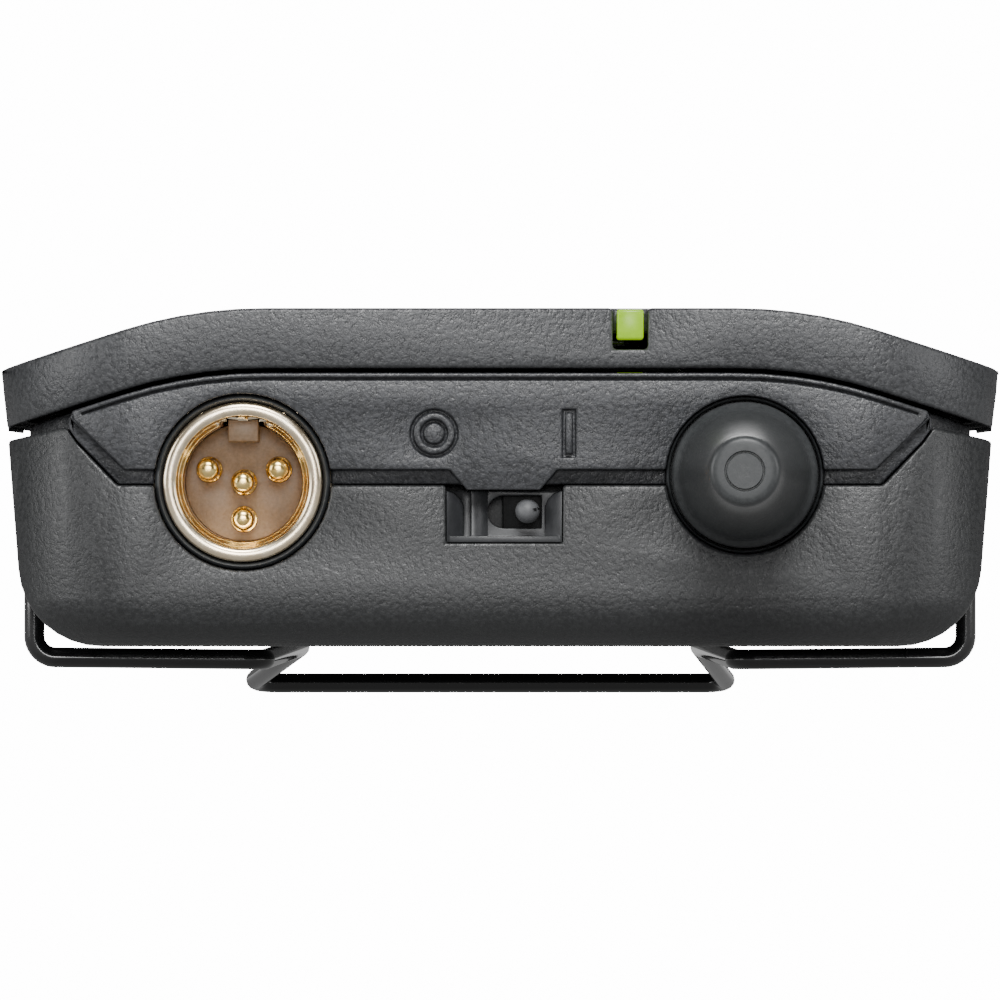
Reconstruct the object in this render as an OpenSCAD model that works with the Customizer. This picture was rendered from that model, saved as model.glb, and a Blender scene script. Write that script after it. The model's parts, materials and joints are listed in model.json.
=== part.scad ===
// Wireless bodypack transmitter: rear shell, inner frame, hinged front cover, wire belt clip,
// screw-in whip antenna, four-contact microphone socket and the works inside.
// X runs across the pack, Y along it and Z from the flat back to the front face. The origin is
// the middle of the flat back. The end with the antenna and the socket faces -Y.

/* [Body] */
// Width of the front cover across its side rims
body_w = 64; // [63.6:0.1:64.4]
// Length of the body, without the antenna
body_l = 110; // [109.6:0.1:110.4]
// Height from the flat back to the front face
body_h = 21.6; // [21.5:0.05:21.7]
// Radius of the four corners seen from the front
corner_r = 9; // [8.8:0.1:9.2]
// Wall thickness of the rear shell
shell_wall = 1.8; // [1.7:0.05:1.9]
// Thickness of the back wall
floor_t = 1.6; // [1.5:0.05:1.7]
// Thickness of the front cover's skin
skin_t = 1.6; // [1.5:0.05:1.7]
// Height of the front cover's rim
rim_h = 3.85; // [3.8:0.05:3.9]

/* [Hinge] */
// Diameter of the hinge pin
pin_d = 1.5; // [1.4:0.05:1.6]
// Radius of the hinge barrel
barrel_r = 2.2; // [2.1:0.05:2.25]
// Radial running clearance of anything that turns
run = 0.05; // [0.03:0.01:0.08]

/* [Belt clip] */
// Diameter of the spring wire
wire_d = 1.35; // [1.3:0.05:1.4]
// Distance of the wire's side legs from the middle
leg_x = 30.4; // [30.3:0.05:30.5]
// Distance of the long wires from the middle, where they touch the back
long_x = 13.75; // [13:0.25:14.5]
// Y of the clip's pivot
clip_y = -30; // [-31:0.5:-29]
// Height of the clip's pivot above the back
clip_z = 7; // [6.8:0.1:7.2]

/* [Antenna] */
// Length of the antenna outside the body
antenna_l = 55; // [50:1:60]
// Radius of the antenna's base
antenna_r = 4.65; // [4.6:0.05:4.8]
// Distance of the antenna from the middle
antenna_x = 15.6; // [15.4:0.1:15.8]
// Height of the antenna above the back
antenna_z = 10.95; // [10.8:0.05:11]
// Lean of the antenna towards the middle, in degrees
antenna_lean = 0.9; // [0:0.1:1]

/* [Microphone socket] */
// Outer radius of the socket's barrel
socket_r = 5.1; // [5:0.05:5.2]
// Inner radius of the socket's barrel
socket_bore_r = 3.8; // [3.75:0.05:3.85]
// Depth from the socket's rim to its insulator
socket_depth = 7; // [6:0.5:8]
// Distance of the socket from the middle
socket_x = -16.4; // [-16.6:0.1:-16.2]
// Height of the socket above the back
socket_z = 10.5; // [10.4:0.05:10.6]
// Radius of one contact
contact_r = 0.6; // [0.55:0.05:0.6]

/* [Batteries] */
// Diameter of one AA cell
cell_d = 14.2; // [14:0.1:14.4]
// Length of one AA cell with its nub
cell_l = 50.5; // [50:0.1:50.5]
// Distance of a cell's middle from the pack's middle
cell_x = 7.6; // [7.5:0.05:7.7]
// Height of the cells' middle above the back
cell_z = 9.6; // [9.4:0.1:9.8]

/* [Hidden] */
$fn = 64;

half_w = body_w / 2;
half_l = body_l / 2;
top_y = -half_l;
end_t = shell_wall;
end_in = top_y + end_t;

// Front face: flat in the middle, a rolled shoulder, then a straight slope to the rim
flat_x = 15;
shoulder_r = 30;
shoulder_a = 17.5;
slope_x = flat_x + shoulder_r * sin(shoulder_a);
slope_z = body_h - shoulder_r * (1 - cos(shoulder_a));
function front_z(x) = abs(x) <= flat_x ? body_h
    : abs(x) <= slope_x ? body_h - shoulder_r + sqrt(pow(shoulder_r, 2) - pow(abs(x) - flat_x, 2))
    : slope_z - (abs(x) - slope_x) * tan(shoulder_a);
shoulder_steps = 5;
function half_xs(w) = concat([for (i = [0:shoulder_steps])
    flat_x + shoulder_r * sin(shoulder_a * i / shoulder_steps)], [w]);
function front_xs(w) = concat([for (i = [shoulder_steps + 1:-1:0]) -half_xs(w)[i]], half_xs(w));
function front_line(w, drop) = [for (x = front_xs(w)) [x, front_z(x) - drop]];
function reversed(list) = [for (i = [len(list) - 1:-1:0]) list[i]];
function arc(c, r, a0, a1, n = 8) = [for (i = [0:n]) let (a = a0 + (a1 - a0) * i / n)
    [c[0] + r * cos(a), c[1] + r * sin(a)]];

// Heights where the shells meet
seam_z = 10.3;
panel_z = 11.3;
side_top = 13.15;
rebate_z = 12.5;
deck_drop = 4.2;
deck_t = 1.2;
shell_w = 31.5;
low_r = 5.4;
end_r = 3.2;
low_in = 4;
draft = 4.7;
rim_in = 30.4;
frame_w = 30.2;
frame_end = 49;

// Hinge line
hinge_y = 52.6;
hinge_z = 15.6;
knuckle_w = 13.8;
lug_in = 14.1;
lug_out = 19;
trough_r = 3.35;
far_top = 13.05;
far_rim_z = 13.5;
far_rim_x = 19.4;

// Wire legs and grooves
wire_r = wire_d / 2;
pivot_in = 27.5;
groove_x = 29.6;
bend_x = 28.9;
clip_bend = 1.4;
block_in = 27;

// Switch at the top end
pocket_x0 = -3.45;
pocket_x1 = 4;
pocket_z0 = 6.6;
pocket_z1 = 10;
guide_back = top_y + 2.8;
slot_x1 = 2.65;
nub_x = 1.75;
nub_z = 8.65;
nub_r = 0.77;

// Light pipe and its notch in the cover
led_x = 8.3;
notch_w = 2.25;
notch_z = body_h - 2.65;
pipe_w = 1.7;
pipe_z = body_h - 2;
shield_w = 6;

// Window, label and latches in the cover
window_y = -31;
window_w = 16;
window_l = 12;
label_y = 18;
label_w = 28;
label_l = 18;
latch_y0 = -17;
latch_y1 = -1;
latch_z0 = 13.95;
latch_z1 = 16.25;
latch_in = 28.6;
latch_out = 31.7;

// Battery bay
bay_x = 15.4;
bay_wall = 1.1;
bay_y0 = -6.5;
bay_y1 = 48;
plate_t = 0.4;
cell_nub_r = 2.7;
cell_nub_l = 1;

// Boards and controls
board_z = 3.2;
board_t = 1.2;
board_w = 26.4;
board_y0 = -52;
board_y1 = -9;
control_z = 12.6;
control_w = 24;
control_y0 = -39;
control_y1 = -9;
button_x = -12;
group_y = -18;
channel_y = -30;
button_r = 2.2;
gain_x = 12;
gain_y = -24;
rotor_r = 2.4;
display_w = 14;
display_l = 11;
control_top = control_z + board_t;
board_top = board_z + board_t;
deck_top = body_h - deck_drop;
deck_low = deck_top - deck_t;

// Screws
boss_r = 2.6;
boss_x = 24.5;
boss_y0 = -46;
boss_y1 = 43;
screw_r = 1;
head_r = 1.75;
sink_r = 1.9;
sink_z = 1.8;
pad_z = 3.2;
small_r = 0.7;
small_head_r = 1.4;
main_spots = [[-23, -12], [23, -12], [-23.5, -37.5], [23.5, -37.5]];
control_spots = [[-21.5, -36.5], [21.5, -36.5], [-21.5, -11.5], [21.5, -11.5]];

// A box from its two corners
module block(a, b) translate(a) cube(b - a);

// A rounded rectangle around the middle
module slab(w, l, r) {
    square([w, l - 2 * r], center = true);
    square([w - 2 * r, l], center = true);
    for (sx = [-1, 1], sy = [-1, 1]) translate([sx * (w / 2 - r), sy * (l / 2 - r)]) circle(r);
}

// The body's plan, drawn in by a margin, from z0 up
module plan(margin, z0, z1) translate([0, 0, z0]) linear_extrude(z1 - z0)
    slab(body_w - 2 * margin, body_l - 2 * margin, corner_r - margin);

// An X-Z outline carried along Y from y0 to y1
module along_y(points, y0, y1) translate([0, y1, 0]) rotate([90, 0, 0])
    linear_extrude(y1 - y0) polygon(points);

// A cylinder along Y or along X
module bar_y(x, z, r, y0, y1) translate([x, y1, z]) rotate([90, 0, 0]) cylinder(r = r, h = y1 - y0);
module bar_x(y, z, r, x0, x1) translate([x0, y, z]) rotate([0, 90, 0]) cylinder(r = r, h = x1 - x0);
module post(x, y, r, z0, z1) translate([x, y, z0]) cylinder(r = r, h = z1 - z0);
module both_sides() {
    children();
    mirror([1, 0, 0]) children();
}

// Round wire of n sides along a path, its ends closed
function unit(v) = v / norm(v);
function tangents(p) = [for (i = [0:len(p) - 1]) unit(p[min(i + 1, len(p) - 1)] - p[max(i - 1, 0)])];
function ups(t, up, i = 0) = i >= len(t) ? []
    : let (w = unit(up - t[i] * (up * t[i]))) concat([w], ups(t, w, i + 1));
module tube(p, r, n, up) {
    t = tangents(p);
    u = ups(t, up);
    rings = [for (i = [0:len(p) - 1], k = [0:n - 1])
        p[i] + r * (cos(360 * k / n) * u[i] + sin(360 * k / n) * cross(t[i], u[i]))];
    skin = [for (i = [0:len(p) - 2], k = [0:n - 1]) let (m = (k + 1) % n)
        [i * n + k, (i + 1) * n + k, (i + 1) * n + m, i * n + m]];
    ends = [[for (k = [0:n - 1]) k], [for (k = [n - 1:-1:0]) (len(p) - 1) * n + k]];
    polyhedron(rings, concat(skin, ends), convexity = 6);
}

// A route with each corner rounded to one bend radius
function rounded(p, bend, n = 5) = [for (i = [0:len(p) - 1])
    if (i == 0 || i == len(p) - 1) p[i]
    else let (u = unit(p[i] - p[i - 1]), v = unit(p[i + 1] - p[i]), a = acos(u * v),
        w = unit(v - u * (u * v)), c = p[i] - u * bend * tan(a / 2) + w * bend)
        each [for (k = [0:n]) c + bend * (u * sin(a * k / n) - w * cos(a * k / n))]];

// ---- Shells ----

function side_x(z) = shell_w - (side_top - z) * tan(draft);
low_x = side_x(low_r * (1 - sin(draft))) - low_r * cos(draft);
function mirrored(p) = [for (q = reversed(p)) [-q[0], q[1]]];
function side_half(c, r, in) = concat(arc(c, r, -90, -draft), [[side_x(15) - in, 15]]);
shell_out = side_half([low_x, low_r], low_r, 0);
shell_in = side_half([low_x, floor_t + low_in], low_in, shell_wall);
function end_half(y, z, r) = concat(arc([y - r, z + r], r, -90, 0), [[y, 15]]);
top_cut = [[0, seam_z], [24.4, seam_z], [27, 13], [27.7, 14], [shell_w, side_top],
    [40, side_top], [40, 30], [0, 30]];

// A Y-Z outline carried across the whole width
module along_x(half) translate([-half_w, 0, 0]) rotate([90, 0, 90]) linear_extrude(body_w)
    polygon(concat(half, mirrored(half)));

// The rounded foot of each corner, which joins the fillets of the sides and the ends
module round_foot() {
    in_x = half_w - corner_r;
    in_y = half_l - corner_r;
    foot = arc([corner_r - end_r, end_r], end_r, -90, 0);
    block([-in_x, -half_l, 0], [in_x, half_l, 15]);
    block([-half_w, -in_y, 0], [half_w, in_y, 15]);
    for (sx = [-1, 1], sy = [-1, 1]) translate([sx * in_x, sy * in_y, 0])
        rotate_extrude() polygon(concat([[0, 0]], foot, [[corner_r, 15], [0, 15]]));
}

module shell_body() intersection() {
    along_y(concat(shell_out, mirrored(shell_out)), -half_l, half_l);
    plan(0, 0, 15);
    along_x(end_half(half_l, 0, end_r));
    round_foot();
}

module shell_cavity() intersection() {
    along_y(concat(shell_in, mirrored(shell_in)), -half_l, half_l);
    along_x(end_half(half_l - shell_wall, floor_t, low_in));
    plan(shell_wall, floor_t, 15);
}

module rear_shell() color("#57595b") {
    difference() {
        union() {
            difference() {
                shell_body();
                shell_cavity();
            }
            both_sides() block([block_in, clip_y - 4.5, floor_t + 0.5],
                [groove_x + 0.2, clip_y + 4.5, 10]);
            for (x = [-boss_x, boss_x], y = [boss_y0, boss_y1]) post(x, y, boss_r + 0.6, 1, pad_z);
            for (s = main_spots) post(s[0], s[1], 2, 1, board_z);
        }
        // Top edge: the end by the antenna dips to the seam, the sides stay higher
        both_sides() along_y(top_cut, top_y - 1, -half_l + corner_r);
        block([-40, -half_l + corner_r, side_top], [40, half_l + 1, 20]);
        block([-40, half_l - 3.6, far_top], [40, half_l + 1, 20]);
        // Rebate that the inner frame sits in
        intersection() {
            plan(shell_wall - 0.1, rebate_z, 16);
            block([-frame_w - 0.1, end_in - 0.1, rebate_z], [frame_w + 0.1, half_l, 16]);
        }
        bar_x(hinge_y, hinge_z, trough_r, -40, 40);
        // Holes in the top end
        bar_y(socket_x, socket_z, socket_r + 0.55, top_y - 1, end_in + 1);
        bar_y(antenna_x, antenna_z, antenna_r + 0.4, top_y - 1, end_in + 1);
        block([pocket_x0, top_y - 1, pocket_z0], [pocket_x1, end_in + 1, 20]);
        // Side grooves and pivot holes of the belt clip
        both_sides() {
            block([groove_x, clip_y - 2, -1], [40, clip_y + 1.2, clip_z + 1.2]);
            block([bend_x, clip_y - 2, clip_z - 2.2], [40, clip_y + 1.2, clip_z + 1.2]);
            bar_x(clip_y, clip_z, wire_r + run, pivot_in - 1, 40);
        }
        // Screw holes
        for (x = [-boss_x, boss_x], y = [boss_y0, boss_y1]) {
            post(x, y, sink_r, -1, sink_z);
            post(x, y, screw_r, -1, pad_z + 1);
        }
        for (s = main_spots) post(s[0], s[1], small_r, floor_t, board_z + 1);
    }
}

panel_tip = 27.3;
dip_z = pocket_z1;
dip_x0 = -2.1;
dip_x1 = 2.55;
dip_run = 1.1;
tongue_in = 1.1;
panel_low = [[panel_tip, 14.6], [23.9, panel_z], [dip_x1 + dip_run, panel_z], [dip_x1, dip_z],
    [dip_x0, dip_z], [dip_x0 - dip_run, panel_z], [-23.9, panel_z], [-panel_tip, 14.6]];
tongue_z = seam_z + 0.05;
tongue_half = [[27.5, 13.9], [26.9, 13.05], [24.3, tongue_z]];
tongue_low = concat(tongue_half, mirrored(tongue_half));
// A fine groove under the panel's top edge leaves a lip that follows the cover
lip_drop = rim_h + 0.6;
lip_groove = 0.16;

module end_panel() difference() {
    intersection() {
        union() {
            along_y(concat(front_line(panel_tip, rim_h + 0.3), panel_low), top_y, end_in);
            along_y(concat(front_line(panel_tip + 0.2, rim_h + 0.6), tongue_low),
                top_y + tongue_in, end_in + 1.5);
        }
        plan(0, 5, 20);
    }
    intersection() {
        plan(shell_wall, 5, 20);
        block([-40, -60, 0], [40, 0, 30]);
    }
    intersection() {
        along_y(concat(front_line(panel_tip - 0.6, lip_drop),
            reversed(front_line(panel_tip - 0.6, lip_drop + lip_groove))), top_y - 1, top_y + corner_r);
        difference() {
            plan(-1, 5, 20);
            plan(0.35, 4, 21);
        }
    }
}

module deck() difference() {
    intersection() {
        union() {
            along_y(concat(front_line(frame_w, deck_drop),
                reversed(front_line(frame_w, deck_drop + deck_t))), end_in - 0.1, frame_end);
            both_sides() along_y([[frame_w - 1.2, rebate_z], [frame_w, rebate_z],
                [frame_w, front_z(frame_w) - deck_drop],
                [frame_w - 1.2, front_z(frame_w - 1.2) - deck_drop]], end_in - 0.1, frame_end);
        }
        plan(half_w - frame_w, 5, 20);
    }
    block([-bay_x, bay_y0, 10], [bay_x, bay_y1, 20]);
    block([-display_w / 2 - 0.2, window_y - display_l / 2 - 0.2, 10],
        [display_w / 2 + 0.2, window_y + display_l / 2 + 0.2, 20]);
    for (y = [group_y, channel_y]) post(button_x, y, button_r + 0.15, 10, 20);
    post(gain_x, gain_y, rotor_r + 0.3, 10, 20);
}

module hinge_lug() difference() {
    union() {
        bar_x(hinge_y, hinge_z, barrel_r, lug_in, lug_out);
        block([lug_in, frame_end - 1, 10], [lug_out, half_l - end_t - 0.15, hinge_z]);
        block([lug_in, frame_end - 2, 10], [lug_out, frame_end, 16]);
    }
    bar_x(hinge_y, hinge_z, pin_d / 2, lug_in - 1, lug_out + 1);
}

module bay_walls() {
    for (x = [-bay_x - bay_wall, bay_x])
        block([x, bay_y0 - bay_wall, 2], [x + bay_wall, frame_end, 16.4]);
    block([-bay_x, bay_y0 - bay_wall, 2], [bay_x, bay_y0, 16.4]);
    block([-bay_x, bay_y1, 2], [bay_x, frame_end, 16.4]);
    block([-bay_x, bay_y0, floor_t + 0.1], [bay_x, frame_end, floor_t + 0.7]);
}

// A ring for off and a bar for on, each standing in a shallow groove
mark_z = 13.6;
off_x = -4.2;
on_x = 4.4;
module marks(grow, y0, y1) {
    difference() {
        bar_y(off_x, mark_z, 1.3 + grow, y0, y1);
        bar_y(off_x, mark_z, 0.9 - grow, y0 - 1, y1 + 1);
    }
    block([on_x - 0.2 - grow, y0, mark_z - 1.3 - grow], [on_x + 0.2 + grow, y1, mark_z + 1.3 + grow]);
}

module inner_frame() color("#5c5e60") {
    difference() {
        union() {
            end_panel();
            deck();
            bay_walls();
            both_sides() hinge_lug();
            for (x = [-boss_x, boss_x], y = [boss_y0, boss_y1]) post(x, y, boss_r, pad_z, 14.8);
            for (s = control_spots) post(s[0], s[1], 1.8, control_top, 15.6);
        }
        bar_y(socket_x, socket_z, socket_r + 0.55, top_y - 1, end_in + 1);
        bar_y(socket_x, socket_z, 6.3, end_in, top_y + 15);
        bar_y(antenna_x, antenna_z, antenna_r + 0.4, top_y - 1, end_in + 1);
        bar_y(antenna_x, antenna_z, 6.3, end_in, top_y + 6);
        for (x = [-boss_x, boss_x], y = [boss_y0, boss_y1]) post(x, y, screw_r, 2, 11);
        for (s = control_spots) post(s[0], s[1], small_r, 10, 15);
        marks(0.25, top_y - 1, top_y + 0.35);
        block([led_x - 3.4, end_in - 1, deck_top - 0.8], [led_x + 3.4, top_y + 8.7, 20]);
        both_sides() {
            block([27.4, latch_y0 - 0.3, latch_z0 - 0.15], [40, latch_y1 + 0.3, 20]);
            block([27.4, -11.4, 12.8], [29.5, -6.6, 20]);
        }
    }
    marks(0, top_y - 0.08, top_y + 0.4);
}

module cover_outline(drop) along_y(concat(front_line(half_w, 0),
    [[shell_w + 0.35, front_z(half_w) - 1.5], [shell_w, front_z(half_w) - drop]],
    reversed(front_line(shell_w, drop)),
    [[-shell_w, front_z(half_w) - drop], [-shell_w - 0.35, front_z(half_w) - 1.5]]), -half_l, half_l);

module cover_body() intersection() {
    union() {
        cover_outline(rim_h);
        // The hinge end's rim reaches lower, outside the lugs
        both_sides() block([far_rim_x, half_l - corner_r, far_rim_z], [half_w - 0.3, half_l, 17]);
    }
    plan(0, 10, 30);
}

module cover_hollow() intersection() {
    along_y(concat(front_line(rim_in, skin_t), [[rim_in, 5], [-rim_in, 5]]), -half_l, half_l);
    plan(skin_t, 5, 30);
}

module front_cover() color("#6d6f71") {
    difference() {
        union() {
            difference() {
                cover_body();
                cover_hollow();
            }
            bar_x(hinge_y, hinge_z, barrel_r, -knuckle_w, knuckle_w);
            block([-knuckle_w, hinge_y + 0.8, hinge_z], [knuckle_w, half_l, 18.5]);
            // A rib behind the rim keeps the lamp's light in its pipe
            block([led_x - shield_w / 2, top_y + skin_t - 0.1, deck_top + 0.08],
                [led_x + shield_w / 2, top_y + skin_t + 0.5, notch_z]);
        }
        bar_x(hinge_y, hinge_z, pin_d / 2 + run, -40, 40);
        both_sides() block([knuckle_w, hinge_y - 3, 10], [far_rim_x, half_l + 1, hinge_z + barrel_r + 0.2]);
        block([led_x - notch_w / 2, top_y - 1, notch_z], [led_x + notch_w / 2, top_y + skin_t + 0.1, 30]);
        block([-window_w / 2, window_y - window_l / 2, 10], [window_w / 2, window_y + window_l / 2, 30]);
        block([-label_w / 2, label_y - label_l / 2, body_h - 0.4],
            [label_w / 2, label_y + label_l / 2, 30]);
        both_sides() block([rim_in - 2, latch_y0 - 0.15, 10], [40, latch_y1 + 0.15, latch_z1 + 0.1]);
    }
}

module hinge_pin() color("silver") bar_x(hinge_y, hinge_z, pin_d / 2, -lug_out, lug_out);

// ---- Pieces carried by the front cover ----

module latch() {
    difference() {
        union() {
            along_y([[latch_in, latch_z0], [latch_out - 0.2, latch_z0], [latch_out, latch_z1],
                [latch_in, latch_z1]], latch_y0, latch_y1);
            block([latch_in, -11, 13], [29.4, -7, latch_z0 + 0.1]);
        }
        for (i = [0:5]) block([latch_out - 0.45, latch_y0 + 4.2 + i * 1.4, 10],
            [40, latch_y0 + 4.8 + i * 1.4, 20]);
    }
}
module latch_right() color("#4b4d4f") latch();
module latch_left() color("#4b4d4f") mirror([1, 0, 0]) latch();

module display_window() color("#23282c") {
    translate([0, window_y, body_h - skin_t - 0.8]) linear_extrude(0.8)
        slab(window_w + 2, window_l + 2, 1);
    block([-window_w / 2 + 0.1, window_y - window_l / 2 + 0.1, body_h - skin_t],
        [window_w / 2 - 0.1, window_y + window_l / 2 - 0.1, body_h - 0.2]);
}

module label_plate() color("#8d9093") translate([0, label_y, body_h - 0.4]) linear_extrude(0.3)
    slab(label_w - 0.2, label_l - 0.2, 0.8);

module light_pipe() color("#b0cb4d") {
    block([led_x - pipe_w / 2, top_y + 0.1, pipe_z], [led_x + pipe_w / 2, top_y + 5, body_h - skin_t]);
    block([led_x - pipe_w / 2, top_y + 0.1, body_h - skin_t],
        [led_x + pipe_w / 2, top_y + skin_t, body_h - 0.1]);
}

// ---- Belt clip ----

arm_out_z = -0.9;
arm_in_z = -1.05;
arm_x = 15.4;
rise_z = -0.75;
flare_y = 25;
end_y = 40;
end_z = -3.4;
end_x = 16.65;
// The free end of the bent wire lies a little to the left
end_shift = -0.75;
function clip_half(shift) = [[pivot_in, clip_y, clip_z], [leg_x, clip_y, clip_z],
    [leg_x, clip_y, arm_out_z], [arm_x, clip_y, arm_in_z], [long_x, flare_y, rise_z],
    [end_x + shift, end_y, end_z]];
clip_far_half = [for (p = reversed(clip_half(-end_shift))) [-p[0], p[1], p[2]]];
module belt_clip() color("#121214")
    tube(rounded(concat(clip_half(end_shift), clip_far_half), clip_bend), wire_r, 12, [0, 0, 1]);

// ---- Microphone socket ----

socket_back = top_y + 14;
insulator_y = top_y + socket_depth;
mouth_r = 4.2;
mouth_l = 1.4;
key_w = 1.92;
key_top = 4;
module socket_barrel() color("#c9b594") difference() {
    union() {
        bar_y(socket_x, socket_z, socket_r, top_y + 0.1, socket_back);
        bar_y(socket_x, socket_z, 5.9, end_in + 0.2, end_in + 1.3);
    }
    bar_y(socket_x, socket_z, socket_bore_r, top_y - 1, socket_back + 1);
    bar_y(socket_x, socket_z, mouth_r, top_y - 1, top_y + 0.1 + mouth_l);
    block([socket_x - key_w / 2 - 0.35, top_y + 0.05 + mouth_l, socket_z + 2],
        [socket_x + key_w / 2 + 0.35, insulator_y + 1, socket_z + key_top + 0.15]);
}
module socket_insulator() color("#7c6752") difference() {
    union() {
        bar_y(socket_x, socket_z, socket_bore_r - 0.02, insulator_y, socket_back - 1);
        block([socket_x - key_w / 2, insulator_y - 4, socket_z + 2.6],
            [socket_x + key_w / 2, insulator_y + 0.9, socket_z + key_top]);
    }
    socket_pins(contact_r, insulator_y - 2, socket_back);
}
contact_ring = 2.37;
module socket_pins(r, y0, y1) {
    bar_y(socket_x, socket_z, r, y0, y1);
    for (a = [20, 160, 270])
        bar_y(socket_x + contact_ring * cos(a), socket_z + contact_ring * sin(a), r, y0, y1);
}
module socket_contacts() color("#f4d199") socket_pins(contact_r, top_y + 1.6, socket_back + 1.5);
// Black rings that fill the gaps round the socket and the antenna
module gasket(x, z, r, wall) difference() {
    bar_y(x, z, r + wall, top_y + 0.3, end_in);
    bar_y(x, z, r + 0.03, top_y - 1, end_in + 1);
}
module socket_gasket() color("#1c1c1d") gasket(socket_x, socket_z, socket_r, 0.5);
module antenna_gasket() color("#1c1c1d") gasket(antenna_x, antenna_z, antenna_r + 0.07, 0.3);
module socket_nut() color("#a9abad") difference() {
    translate([socket_x, end_in + 3.2, socket_z]) rotate([90, 0, 0]) cylinder(r = 6.1, h = 1.8, $fn = 6);
    bar_y(socket_x, socket_z, socket_r, end_in, end_in + 6);
}

// ---- Antenna ----

module on_antenna() translate([antenna_x, top_y, antenna_z])
    rotate([-0.16, 0, -antenna_lean]) rotate([90, 0, 0]) children();
sheath_out = [[1.7, antenna_l], [1.98, antenna_l - 0.08], [2.15, antenna_l - 0.35], [2.25, antenna_l - 2],
    [2.6, 18], [2.85, 13], [3.3, 8], [3.8, 3.6], [4, 2], [antenna_r - 0.1, 0.9], [antenna_r, 0.5],
    [antenna_r, -1.6]];
module antenna_sheath() color("#3d3f41") on_antenna() rotate_extrude()
    polygon(concat([[0.8, -1.6], [0.8, antenna_l - 2], [0, antenna_l - 2], [0, antenna_l]], sheath_out));
module antenna_whip() color("#b08d57") on_antenna()
    translate([0, 0, -1.6]) cylinder(r = 0.8, h = antenna_l - 0.9);
module antenna_ferrule() color("#2c2c2d") {
    bar_y(antenna_x, antenna_z, 5.6, end_in + 0.05, end_in + 1.5);
    bar_y(antenna_x, antenna_z, 2.5, end_in + 1.4, end_in + 6);
}
module antenna_contact() color("#c9a24a") {
    block([antenna_x - 1.5, end_in + 6, board_top], [antenna_x + 1.5, end_in + 6.4, antenna_z + 2]);
    block([antenna_x - 1.5, end_in + 6.4, board_top], [antenna_x + 1.5, end_in + 9, board_top + 0.3]);
}

// ---- Power switch ----

guide_x0 = pocket_x0 + 0.05;
guide_x1 = pocket_x1 - 0.05;
guide_z0 = pocket_z0 + 0.05;
guide_z1 = pocket_z1 - 0.05;
ramp_y = top_y + 1.3;
floor_y = top_y + 2;
module guide_ramp(x0, x1) intersection() {
    translate([0, 0, guide_z0]) linear_extrude(4)
        polygon([[x0, top_y + 0.05], [x1, ramp_y], [x1, guide_back], [x0, guide_back]]);
    along_y([[x0, guide_z0], [x1, guide_z0], [x1, guide_z0 + 2.3], [x0 + (x1 - x0) * 0.8, guide_z0 + 2.75],
        [x0 + (x1 - x0) * 0.45, guide_z0 + 3.1], [x0, guide_z1]], top_y, guide_back);
}
module switch_guide() color("#47494b") {
    guide_ramp(guide_x0, -2.35);
    guide_ramp(guide_x1, 2.9);
    difference() {
        translate([0, 0, guide_z0]) linear_extrude(guide_z1 - guide_z0)
            polygon([[guide_x0, guide_back], [guide_x1, guide_back], [guide_x1, floor_y], [-0.8, floor_y],
                [-1.1, floor_y - 0.28], [-1.5, floor_y - 0.48], [-1.85, floor_y - 0.55],
                [-1.85, floor_y + 0.4], [-2.35, floor_y + 0.4], [guide_x0, floor_y]]);
        bar_y(0.25, nub_z - 0.05, 1.05, top_y, guide_back + 1);
        block([0.25, top_y, nub_z - 1.1], [slot_x1, guide_back + 1, nub_z + 1]);
    }
    block([guide_x0, top_y + 0.25, guide_z0], [guide_x1, guide_back, guide_z0 + 0.4]);
}
module switch_slider() color("#6a6c6e") {
    translate([nub_x, top_y + 1.1, nub_z]) sphere(nub_r);
    bar_y(nub_x, nub_z, 0.6, top_y + 1.1, guide_back + 0.3);
    block([nub_x - 1.6, guide_back + 0.1, nub_z - 1.2], [nub_x + 1.6, guide_back + 1.5, nub_z + 1.2]);
}
module switch_body() color("#202225")
    block([-5, guide_back + 1.6, board_top], [5, guide_back + 6, 11]);

// ---- Boards and what they carry ----

module main_board() color("#1f5b3a") difference() {
    block([-board_w, board_y0, board_z], [board_w, board_y1, board_top]);
    for (x = [-boss_x, boss_x]) post(x, boss_y0, boss_r + 0.9, 2, 6);
    for (s = main_spots) post(s[0], s[1], small_r, 2, 6);
}
module control_board() color("#1f5b3a") difference() {
    block([-control_w, control_y0, control_z], [control_w, control_y1, control_top]);
    for (s = control_spots) post(s[0], s[1], small_r, 10, 15);
}
module board_header() color("#202225") block([-9, -12.4, board_top], [9, -9.9, control_z]);
module segment_display() color("#2b2b2e")
    block([-display_w / 2, window_y - display_l / 2, control_top],
        [display_w / 2, window_y + display_l / 2, deck_top - 0.2]);

tact_h = 1.6;
travel = 0.4;
cap_z = control_top + tact_h + travel + 0.05;
module tact_switches() color("#303236") for (y = [group_y, channel_y])
    block([button_x - 2.5, y - 2.5, control_top], [button_x + 2.5, y + 2.5, control_top + tact_h]);
module cap() {
    post(0, 0, button_r + 0.6, cap_z, cap_z + 0.25);
    post(0, 0, button_r, cap_z, deck_top + 0.8);
}
module group_button() color("#c9cbcd") translate([button_x, group_y, 0]) cap();
module channel_button() color("#c9cbcd") translate([button_x, channel_y, 0]) cap();

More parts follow.
